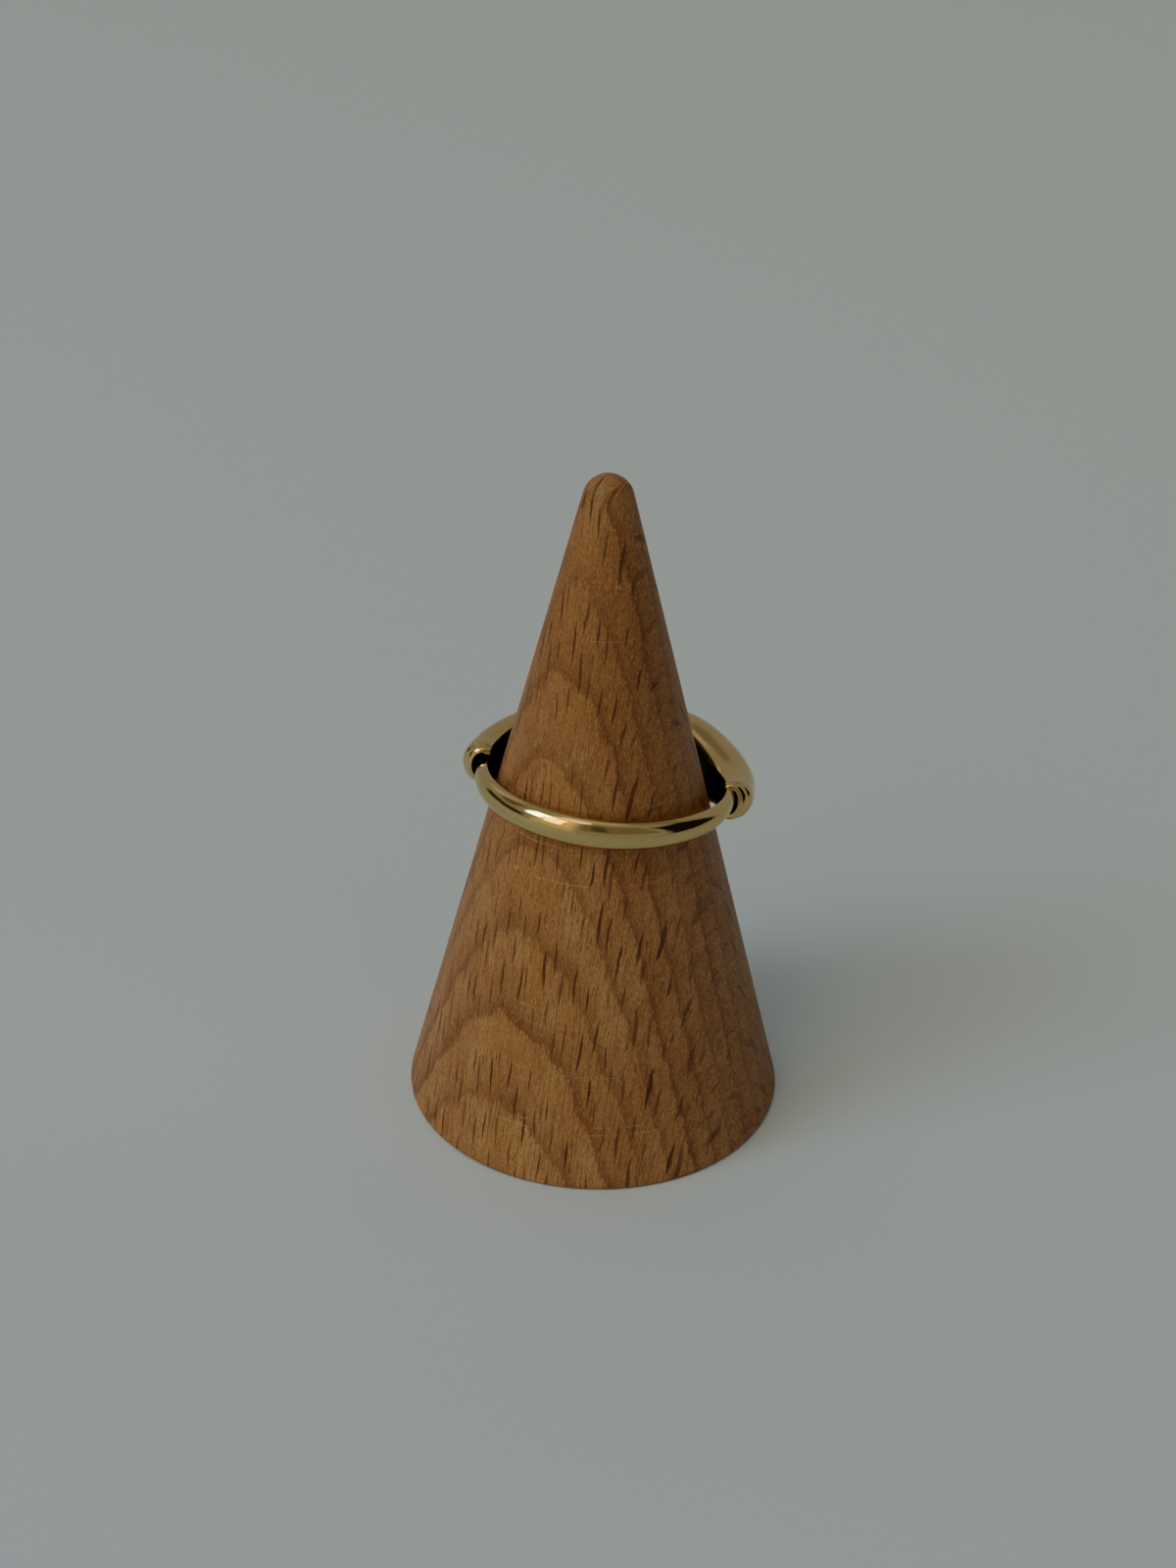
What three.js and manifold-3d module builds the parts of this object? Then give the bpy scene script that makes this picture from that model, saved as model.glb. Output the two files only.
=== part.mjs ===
// Dome ring on a cone stand.
// A rounded gold band carries a hollow puffed dome, open towards the finger and at both ends.
// The ring hangs a little tilted on a turned beech cone, touching it in front and behind.
// Millimetres, +Z up. The origin is the middle of the cone's foot, on the surface it stands on.

import * as THREE from "three";
import { mergeVertices } from "three/addons/utils/BufferGeometryUtils.js";
import Module from "manifold-3d";

const wasm = await Module();
wasm.setup();

// Cone stand
const CONE_FOOT_RADIUS = 14;
const CONE_HEIGHT = 50.6;
const CONE_TIP_RADIUS = 1.82;
const CONE_EDGE_RADIUS = 0.3;
const CONE_SIDES = 72;
const CONE_ARC_STEPS = 3;

// Band of the ring, heights measured from the ring's middle plane
const FINGER_RADIUS = 8.6;
const BAND_THICKNESS = 0.92;
const BAND_RISE = 1.2;
const BAND_DROP = 1.08;
const BAND_EASING = 0.12;
const BAND_STEPS = 56;
const BAND_SIDE_POINTS = 9;

// Dome of the ring, a shell whose edges lie on the finger's circle
const DOME_THICKNESS = 3.85;
const DOME_RISE = 2.3;
const DOME_DROP = 3.2;
const DOME_WALL = 0.45;
const DOME_STEPS = 48;
const DOME_CURL_POINTS = 3;
const DOME_CROWN_POINTS = 9;

// The dome's crown is this share of its thickness out from the finger, and its edges curl in by the
// other. The lip along each edge shows the finger this share of the wall.
const CROWN_SHARE = 0.35;
const CURL_SHARE = 0.12;
const LIP_SHARE = 0.55;

// Angles around the finger, counter-clockwise from +X as seen from above
const DOME_START = THREE.MathUtils.degToRad(-3.5);
const DOME_END = THREE.MathUtils.degToRad(174.5);
const BAND_TUCK = THREE.MathUtils.degToRad(8);

// The dome's right mouth leans back at its top, and the lean fades out over this share of the dome
const MOUTH_LEAN = THREE.MathUtils.degToRad(16);
const MOUTH_FADE = 0.1;

// How the ring hangs on the cone
const RING_ROLL = THREE.MathUtils.degToRad(3.9);
const RING_PITCH = THREE.MathUtils.degToRad(-6.6);
const RING_SHIFT_X = 0.39;
const RING_SHIFT_Y = 0.77;
const SEAT_CLEARANCE = 0.22;

// Sections of the dome from its right end to its left end, as shares of
// DOME_THICKNESS, DOME_RISE, DOME_DROP and DOME_WALL
const DOME_SECTIONS = [
  { along: 0.0, thickness: 0.36, rise: 0.31, drop: 0.44, wall: 0.8 },
  { along: 0.03, thickness: 0.53, rise: 0.26, drop: 0.52, wall: 1.0 },
  { along: 0.08, thickness: 0.67, rise: 0.2, drop: 0.61, wall: 1.0 },
  { along: 0.13, thickness: 0.82, rise: 0.21, drop: 0.65, wall: 1.0 },
  { along: 0.2, thickness: 0.95, rise: 0.45, drop: 0.83, wall: 1.0 },
  { along: 0.3, thickness: 1.0, rise: 0.83, drop: 0.95, wall: 1.0 },
  { along: 0.5, thickness: 0.94, rise: 1.0, drop: 1.0, wall: 1.0 },
  { along: 0.7, thickness: 0.76, rise: 0.76, drop: 0.97, wall: 1.0 },
  { along: 0.8, thickness: 0.64, rise: 0.71, drop: 0.88, wall: 1.0 },
  { along: 0.87, thickness: 0.6, rise: 0.66, drop: 0.72, wall: 1.0 },
  { along: 0.92, thickness: 0.59, rise: 0.6, drop: 0.6, wall: 0.9 },
  { along: 0.97, thickness: 0.54, rise: 0.6, drop: 0.41, wall: 0.7 },
  { along: 1.0, thickness: 0.4, rise: 0.56, drop: 0.29, wall: 0.55 },
];

// Sections of the band from inside the dome's right mouth round the front to
// inside its left mouth, as shares of BAND_THICKNESS, BAND_RISE and BAND_DROP
const BAND_SECTIONS = [
  { along: 0.0, thickness: 0.8, rise: 0.5, drop: 0.5 },
  { along: 0.07, thickness: 0.85, rise: 0.6, drop: 0.57 },
  { along: 0.25, thickness: 0.95, rise: 0.83, drop: 0.77 },
  { along: 0.5, thickness: 1.0, rise: 1.0, drop: 1.0 },
  { along: 0.65, thickness: 1.0, rise: 0.98, drop: 0.9 },
  { along: 0.75, thickness: 1.0, rise: 0.9, drop: 0.87 },
  { along: 0.93, thickness: 1.0, rise: 0.72, drop: 0.81 },
  { along: 0.97, thickness: 0.9, rise: 0.66, drop: 0.82 },
  { along: 1.0, thickness: 0.7, rise: 0.42, drop: 0.84 },
];

// A smooth curve through one column of a table of sections
function column(sections, name) {
  const places = sections.map((row) => row.along);
  const shares = sections.map((row) => row[name]);
  const curve = new THREE.CubicInterpolant(places, shares, 1);
  return (along) => curve.evaluate(along)[0];
}

// A closed body through loops of points, each loop running out along one side
// of the section and back along the other
function loft(loops) {
  const size = loops[0].length;
  const faces = [];
  const quad = (a, b, c, d) => faces.push(a, b, c, a, c, d);
  for (let i = 0; i + 1 < loops.length; i++) {
    for (let k = 0; k < size; k++) {
      const next = (k + 1) % size;
      quad(i * size + k, i * size + next, (i + 1) * size + next, (i + 1) * size + k);
    }
  }
  const last = (loops.length - 1) * size;
  for (let k = 0; k + 1 < size / 2; k++) {
    const across = size - 1 - k;
    quad(k, across, across - 1, k + 1);
    quad(last + k, last + k + 1, last + across - 1, last + across);
  }
  const geometry = new THREE.BufferGeometry().setFromPoints(loops.flat());
  geometry.setIndex(faces);
  return geometry;
}

// A section's points, each an outward distance and a height, turned to an angle around the finger
function aroundFinger(section, angle, lean = 0) {
  return section.map(({ x: out, y: height }) => {
    const radius = FINGER_RADIUS + out;
    const turn = angle + (Math.tan(lean) * height) / FINGER_RADIUS;
    return new THREE.Vector3(radius * Math.cos(turn), radius * Math.sin(turn), height);
  });
}

// One line of the dome's section from its upper edge over the crown to its lower edge: the outer
// face with no wall, or the inner face of a wall. The outer line curls in to the finger, and the
// inner line runs straight to the lip.
function domeSide(thickness, middle, halfWidth, wall) {
  const crown = thickness * CROWN_SHARE;
  const curl = thickness * CURL_SHARE;
  const lip = halfWidth - LIP_SHARE * wall;
  const top = halfWidth + curl - wall;
  const reach = thickness - crown - wall;
  const quarter = Math.PI / 2;
  const points = [];
  for (let k = 0; k < DOME_CURL_POINTS; k++) {
    const share = k / DOME_CURL_POINTS;
    const turn = quarter * share;
    const curled = new THREE.Vector2(crown - crown * Math.cos(turn), lip + curl * Math.sin(turn));
    const straight = new THREE.Vector2(crown * share, THREE.MathUtils.lerp(lip, top, share));
    points.push(wall > 0 ? straight : curled);
  }
  for (let k = 0; k <= DOME_CROWN_POINTS; k++) {
    const turn = (quarter * k) / DOME_CROWN_POINTS;
    points.push(new THREE.Vector2(crown + reach * Math.sin(turn), top * Math.cos(turn)));
  }
  const mirrored = points.slice(0, -1).reverse();
  const lower = mirrored.map((point) => new THREE.Vector2(point.x, -point.y));
  return points.concat(lower).map((point) => point.setY(point.y + middle));
}

function domeBody() {
  const thicknessAt = column(DOME_SECTIONS, "thickness");
  const riseAt = column(DOME_SECTIONS, "rise");
  const dropAt = column(DOME_SECTIONS, "drop");
  const wallAt = column(DOME_SECTIONS, "wall");
  const loops = [];
  for (let i = 0; i <= DOME_STEPS; i++) {
    // Steps crowd towards both ends, where the shell turns in to its mouths
    const even = i / DOME_STEPS;
    const along = (1 - Math.cos(Math.PI * even)) / 2;
    const thickness = DOME_THICKNESS * thicknessAt(along);
    const rise = DOME_RISE * riseAt(along);
    const drop = DOME_DROP * dropAt(along);
    const middle = (rise - drop) / 2;
    const halfWidth = (rise + drop) / 2;
    const outer = domeSide(thickness, middle, halfWidth, 0);
    const inner = domeSide(thickness, middle, halfWidth, DOME_WALL * wallAt(along)).reverse();
    const angle = THREE.MathUtils.lerp(DOME_START, DOME_END, along);
    const lean = MOUTH_LEAN * Math.max(0, 1 - along / MOUTH_FADE);
    loops.push(aroundFinger(outer.concat(inner), angle, lean));
  }
  return loft(loops);
}

// The band's outer face, half an oval from top to bottom, and its flat face towards the finger
function bandSides(thickness, rise, drop) {
  const outer = [];
  const inner = [];
  for (let k = 0; k < BAND_SIDE_POINTS; k++) {
    const turn = (Math.PI * k) / (BAND_SIDE_POINTS - 1);
    const up = Math.cos(turn);
    const out = BAND_EASING + (thickness - BAND_EASING) * Math.sin(turn);
    outer.push(new THREE.Vector2(out, up > 0 ? up * rise : up * drop));
    const eased = up > 0 ? up * (rise - BAND_EASING) : up * (drop - BAND_EASING);
    inner.push(new THREE.Vector2(0, eased));
  }
  return outer.concat(inner.reverse());
}

function bandBody() {
  const thicknessAt = column(BAND_SECTIONS, "thickness");
  const riseAt = column(BAND_SECTIONS, "rise");
  const dropAt = column(BAND_SECTIONS, "drop");
  const start = DOME_START + BAND_TUCK;
  const end = DOME_END - BAND_TUCK - 2 * Math.PI;
  const loops = [];
  for (let i = 0; i <= BAND_STEPS; i++) {
    const along = i / BAND_STEPS;
    const thickness = BAND_THICKNESS * thicknessAt(along);
    const rise = BAND_RISE * riseAt(along);
    const drop = BAND_DROP * dropAt(along);
    const angle = THREE.MathUtils.lerp(start, end, along);
    loops.push(aroundFinger(bandSides(thickness, rise, drop), angle).reverse());
  }
  return loft(loops);
}

function toManifold(geometry) {
  const bare = geometry.clone();
  bare.deleteAttribute("normal");
  bare.deleteAttribute("uv");
  const merged = mergeVertices(bare);
  const vertProperties = new Float32Array(merged.attributes.position.array);
  const triVerts = new Uint32Array(merged.index.array);
  return new wasm.Manifold(new wasm.Mesh({ numProp: 3, vertProperties, triVerts }));
}

function fromManifold(solid) {
  const { vertProperties, triVerts } = solid.getMesh();
  const geometry = new THREE.BufferGeometry();
  geometry.setAttribute("position", new THREE.BufferAttribute(vertProperties, 3));
  geometry.setIndex(new THREE.BufferAttribute(triVerts, 1));
  return geometry;
}

// Half the angle of the cone: its flank starts at the foot's edge and touches the round tip
function coneHalfAngle() {
  const tipMiddle = CONE_HEIGHT - CONE_TIP_RADIUS;
  const toTip = Math.hypot(CONE_FOOT_RADIUS, tipMiddle);
  return Math.acos(CONE_TIP_RADIUS / toTip) - Math.atan2(tipMiddle, CONE_FOOT_RADIUS);
}

function coneBody() {
  const lean = coneHalfAngle();
  const quarter = Math.PI / 2;
  const edgeAngles = [-quarter, lean];
  // The small round at the foot touches both the floor plane and the flank
  const edgeOut = CONE_FOOT_RADIUS - (CONE_EDGE_RADIUS * (1 + Math.sin(lean))) / Math.cos(lean);
  const foot = new THREE.Path();
  foot.moveTo(0, 0);
  foot.lineTo(edgeOut, 0);
  foot.absarc(edgeOut, CONE_EDGE_RADIUS, CONE_EDGE_RADIUS, ...edgeAngles, false);
  const tip = new THREE.Path();
  tip.absarc(0, CONE_HEIGHT - CONE_TIP_RADIUS, CONE_TIP_RADIUS, lean, quarter, false);
  const profile = foot.getPoints(CONE_ARC_STEPS).concat(tip.getPoints(CONE_ARC_STEPS));
  profile[profile.length - 1].x = 0;
  return new THREE.LatheGeometry(profile, CONE_SIDES).rotateX(quarter);
}

// The lowest height at which every point of the turned ring keeps the clearance to the cone's flank
function seatHeight(ringGeometry, turn) {
  const lean = coneHalfAngle();
  const places = ringGeometry.attributes.position;
  const point = new THREE.Vector3();
  let height = 0;
  for (let i = 0; i < places.count; i++) {
    point.fromBufferAttribute(places, i).applyEuler(turn);
    const fromAxis = Math.hypot(point.x + RING_SHIFT_X, point.y + RING_SHIFT_Y);
    const needed = CONE_FOOT_RADIUS - fromAxis + SEAT_CLEARANCE / Math.cos(lean);
    height = Math.max(height, needed / Math.tan(lean) - point.z);
  }
  return height;
}

const gold = new THREE.MeshStandardMaterial({ color: 0xd2b66e, roughness: 0.22, metalness: 1 });
const beech = new THREE.MeshStandardMaterial({ color: 0xb98a62, roughness: 0.6, metalness: 0 });

const coneStand = new THREE.Mesh(coneBody(), beech);
coneStand.name = "cone_stand";

const ringSolid = toManifold(domeBody()).add(toManifold(bandBody()));
const domeRing = new THREE.Mesh(fromManifold(ringSolid), gold);
domeRing.name = "dome_ring";

const seat = new THREE.Group();
seat.rotation.set(RING_PITCH, RING_ROLL, 0, "YXZ");
seat.position.set(RING_SHIFT_X, RING_SHIFT_Y, seatHeight(domeRing.geometry, seat.rotation));
seat.add(domeRing);

const part = new THREE.Group();
part.add(coneStand, seat);

export default part;
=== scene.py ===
import math

import bmesh
import bpy
import numpy as np
from mathutils import Matrix, Vector


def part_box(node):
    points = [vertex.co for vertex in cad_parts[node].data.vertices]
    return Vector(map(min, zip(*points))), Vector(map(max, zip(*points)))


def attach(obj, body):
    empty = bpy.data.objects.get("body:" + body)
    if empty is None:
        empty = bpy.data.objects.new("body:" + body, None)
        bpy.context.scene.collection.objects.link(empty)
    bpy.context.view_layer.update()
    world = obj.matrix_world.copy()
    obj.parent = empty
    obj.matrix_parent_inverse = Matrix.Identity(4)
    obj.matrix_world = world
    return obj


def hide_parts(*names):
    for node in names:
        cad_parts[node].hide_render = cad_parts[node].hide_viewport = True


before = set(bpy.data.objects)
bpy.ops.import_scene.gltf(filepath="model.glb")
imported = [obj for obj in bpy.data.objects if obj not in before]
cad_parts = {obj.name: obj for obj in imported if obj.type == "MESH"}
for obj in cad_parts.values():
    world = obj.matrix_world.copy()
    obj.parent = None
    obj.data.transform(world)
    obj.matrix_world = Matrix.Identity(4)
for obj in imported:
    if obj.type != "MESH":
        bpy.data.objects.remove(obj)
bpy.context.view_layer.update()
MM = 0.001

# Cone stand
# A ring cone turned from one piece of beech: a flat foot, a straight flank and a round tip.
# The lathe leaves faint rings round it, and the sanded wood shows its rays as short dark flecks.

CONE_FOOT_RADIUS = 14.0
CONE_TIP_RADIUS = 1.82
CONE_EDGE_RADIUS = 0.3
CONE_SIDES = 360
FLANK_POINTS = 90
ARC_POINTS = 20
MERGE_REACH = 0.002
SWEEP_RADIUS = 1e-4

# How the log was cut, and where its wood changes along and across the grain, in millimetres.
# The offset is a share of one growth ring
GROWTH_RING_WIDTH = 1.77
GROWTH_RING_OFFSET = 0.9
TRUNK_TURN = math.radians(124)
TRUNK_LEAN = math.radians(3)
GRAIN_SWAY = (0.8, 0.5, 0.0)
RAGGED_EDGE = 0.26
# The reach of the painted shade on the side away from the window
SHADED_SIDE_REACH = 5.0
UPPER_DARKER_FROM, UPPER_DARKER_TO = 14.0, 40.0
TIP_PALER_FROM, TIP_PALER_TO = 45.0, 49.5
WOOD_RELIEF = 0.04

# How far the late wood has darkened at each share of a year's growth
LATE_WOOD_STOPS = ((0.45, 0.05), (0.72, 0.35), (0.88, 0.9), (0.96, 1.0))

# How closely each pattern repeats: to the millimetre from the heart, round the trunk and along it
WEAVE_PER_MM = (0.5, 0.5, 0.3)
SPECKLE_PER_MM = (2.2, 8.0, 1.1)
FADING_PER_MM = (0.3, 0.3, 0.12)
TONES_PER_MM = (0.35, 0.35, 0.14)
FIBRES_PER_MM = (1.4, 8.5, 0.22)
PORES_PER_MM = (8.0, 13.0, 3.0)
TOOL_MARKS_PER_MM = 3.2
WORN_PLACES_PER_MM = 0.35

# One ray to a cell, each with its half sizes, from the heart outwards, round the trunk and along it
SMALL_RAY_CELL, SMALL_RAY_HALF, SMALL_RAY_SEED = (2.4, 0.7, 1.9), (1.1, 0.06, 0.6), (3.3, 1.1, 2.7)
LARGE_RAY_CELL, LARGE_RAY_HALF, LARGE_RAY_SEED = (3.2, 0.8, 4.2), (1.55, 0.13, 2.0), (1.7, 4.2, 8.6)

EARLY_WOOD_PALE = "#C3945E"
EARLY_WOOD_DEEP = "#AE7340"
# Painted shade for the side away from the window
SHADED_SIDE_BROWN = "#955C1D"
UPPER_DARKER_WOOD = "#A2652E"
TIP_PALER_WOOD = "#D2AC7C"
LATE_WOOD = "#783D16"
FIBRE_BROWN = "#8A5429"
PORE_BROWN = "#6B3D1A"
BETWEEN_PORES = "#DBB283"
SMALL_RAY_BROWN = "#5F3414"
LARGE_RAY_BROWN = "#5B290C"
TOOL_MARK_PALE = "#D9B184"

cone_low, cone_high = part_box("cone_stand")
CONE_HEIGHT = (cone_high.z - cone_low.z) / MM


def cone_half_angle():
    """The flank starts at the foot's edge and touches the round tip."""
    tip_middle = CONE_HEIGHT - CONE_TIP_RADIUS
    to_tip = math.hypot(CONE_FOOT_RADIUS, tip_middle)
    return math.acos(CONE_TIP_RADIUS / to_tip) - math.atan2(tip_middle, CONE_FOOT_RADIUS)


def add(tree, kind, inputs=None, **settings):
    """Adds a node, with its settings, and its sockets filled or linked."""
    made = tree.nodes.new(kind)
    for name, value in settings.items():
        setattr(made, name, value)
    for key, value in (inputs or {}).items():
        if isinstance(value, bpy.types.Node):
            value = value.outputs[0]
        if isinstance(value, bpy.types.NodeSocket):
            tree.links.new(value, made.inputs[key])
        else:
            made.inputs[key].default_value = value
    return made


def linear(code, alpha=1.0):
    """A colour written as sRGB hex, turned to the linear values that nodes take."""
    shares = [int(code[i:i + 2], 16) / 255 for i in (1, 3, 5)]
    return tuple(c / 12.92 if c <= 0.04045 else ((c + 0.055) / 1.055) ** 2.4 for c in shares) + (alpha,)


def new_material(name):
    material = bpy.data.materials.new(name)
    material.use_nodes = True
    material.node_tree.nodes.clear()
    return material, material.node_tree


def ray_flecks(tree, grain, cell, half, seed):
    """Rays where the surface cuts them: thin flat spindles that run out from the heart, one to a cell."""
    share = [h / c for h, c in zip(half, cell)]
    placed = add(tree, "ShaderNodeVectorMath", {0: grain, 1: seed}, operation="ADD")
    cells = add(tree, "ShaderNodeVectorMath", {0: placed, 1: cell}, operation="DIVIDE")
    # Each column of cells is lifted by a chance amount, so that the rays don't stand in rows
    floor_of = add(tree, "ShaderNodeVectorMath", {0: cells}, operation="FLOOR")
    column = add(tree, "ShaderNodeVectorMath", {0: floor_of, 1: (1, 1, 0)}, operation="MULTIPLY")
    step = add(tree, "ShaderNodeTexWhiteNoise", {"Vector": column}, noise_dimensions="3D")
    lift = add(tree, "ShaderNodeCombineXYZ", {2: step.outputs["Value"]})
    shifted = add(tree, "ShaderNodeVectorMath", {0: cells, 1: lift}, operation="ADD")
    number = add(tree, "ShaderNodeVectorMath", {0: shifted}, operation="FLOOR")
    chance = add(tree, "ShaderNodeTexWhiteNoise", {"Vector": number}, noise_dimensions="3D")
    # How far a point lies from its ray's middle, in half sizes of the ray
    inside = add(tree, "ShaderNodeVectorMath", {0: shifted, 1: number}, operation="SUBTRACT")
    room_to_move = tuple(1 - 2 * s for s in share)
    middle = add(tree, "ShaderNodeVectorMath", {0: chance.outputs["Color"], 1: room_to_move, 2: tuple(share)},
                 operation="MULTIPLY_ADD")
    away = add(tree, "ShaderNodeVectorMath", {0: inside, 1: middle}, operation="SUBTRACT")
    in_halves = tuple(1 / s for s in share)
    measured = add(tree, "ShaderNodeVectorMath", {0: away, 1: in_halves}, operation="MULTIPLY")
    size = add(tree, "ShaderNodeMapRange", {0: chance.outputs["Value"], 3: 0.55, 4: 1.0})
    own_size = add(tree, "ShaderNodeCombineXYZ", {0: 1.0, 1: size, 2: size})
    sized = add(tree, "ShaderNodeVectorMath", {0: measured, 1: own_size}, operation="DIVIDE")
    both_ways = add(tree, "ShaderNodeVectorMath", {0: sized}, operation="ABSOLUTE")
    axes = add(tree, "ShaderNodeSeparateXYZ", {0: both_ways})
    # Pointed above and below, and square at the ends that lie inside the wood
    out = add(tree, "ShaderNodeMath", {0: axes.outputs[0], 1: 4.0}, operation="POWER")
    up = add(tree, "ShaderNodeMath", {0: axes.outputs[2], 1: 2.0}, operation="POWER")
    point = add(tree, "ShaderNodeMath", {0: axes.outputs[1], 1: out}, operation="ADD")
    reach = add(tree, "ShaderNodeMath", {0: point, 1: up}, operation="ADD")
    fleck = add(tree, "ShaderNodeMapRange", {0: reach, 1: 0.6, 2: 1.05, 3: 1.0, 4: 0.0},
                interpolation_type="SMOOTHSTEP")
    tone = add(tree, "ShaderNodeSeparateColor", {0: chance.outputs["Color"]})
    strength = add(tree, "ShaderNodeMapRange", {0: tone.outputs[1], 3: 0.6, 4: 1.0})
    return add(tree, "ShaderNodeMath", {0: fleck, 1: strength}, operation="MULTIPLY")


def late_wood_lines(tree, grain, out_from_heart):
    """Growth rings: pale early wood that darkens to a mottled brown line of late wood."""
    speckle_place = add(tree, "ShaderNodeVectorMath", {0: grain, 1: SPECKLE_PER_MM}, operation="MULTIPLY")
    speckle = add(tree, "ShaderNodeTexNoise", {"Vector": speckle_place, "Scale": 1.0, "Detail": 2.0})
    ragged = add(tree, "ShaderNodeMapRange", {0: speckle, 3: -RAGGED_EDGE, 4: RAGGED_EDGE})
    out = add(tree, "ShaderNodeMath", {0: out_from_heart, 1: ragged}, operation="ADD")
    rings = add(tree, "ShaderNodeMath", {0: out, 1: 1 / GROWTH_RING_WIDTH, 2: GROWTH_RING_OFFSET},
                operation="MULTIPLY_ADD")
    growth = add(tree, "ShaderNodeMath", {0: rings}, operation="FRACT")
    late = add(tree, "ShaderNodeValToRGB", {0: growth})
    late.color_ramp.elements[0].color = (0, 0, 0, 1)
    late.color_ramp.elements[1].color = (0, 0, 0, 1)
    for position, level in LATE_WOOD_STOPS:
        stop = late.color_ramp.elements.new(position)
        stop.color = (level, level, level, 1)
    # Some years are fainter, and every line fades and comes back along its way
    year_number = add(tree, "ShaderNodeMath", {0: rings}, operation="FLOOR")
    year = add(tree, "ShaderNodeTexWhiteNoise", {"W": year_number}, noise_dimensions="1D")
    year_share = add(tree, "ShaderNodeMapRange", {0: year.outputs["Value"], 3: 0.7, 4: 1.0})
    fading_place = add(tree, "ShaderNodeVectorMath", {0: grain, 1: FADING_PER_MM}, operation="MULTIPLY")
    fading = add(tree, "ShaderNodeTexNoise", {"Vector": fading_place, "Scale": 1.0, "Detail": 2.0})
    shown = add(tree, "ShaderNodeMapRange", {0: fading, 1: 0.35, 2: 0.65, 3: 0.55, 4: 1.0})
    strength = add(tree, "ShaderNodeMath", {0: year_share, 1: shown}, operation="MULTIPLY")
    return add(tree, "ShaderNodeMath", {0: late, 1: strength}, operation="MULTIPLY")


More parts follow.
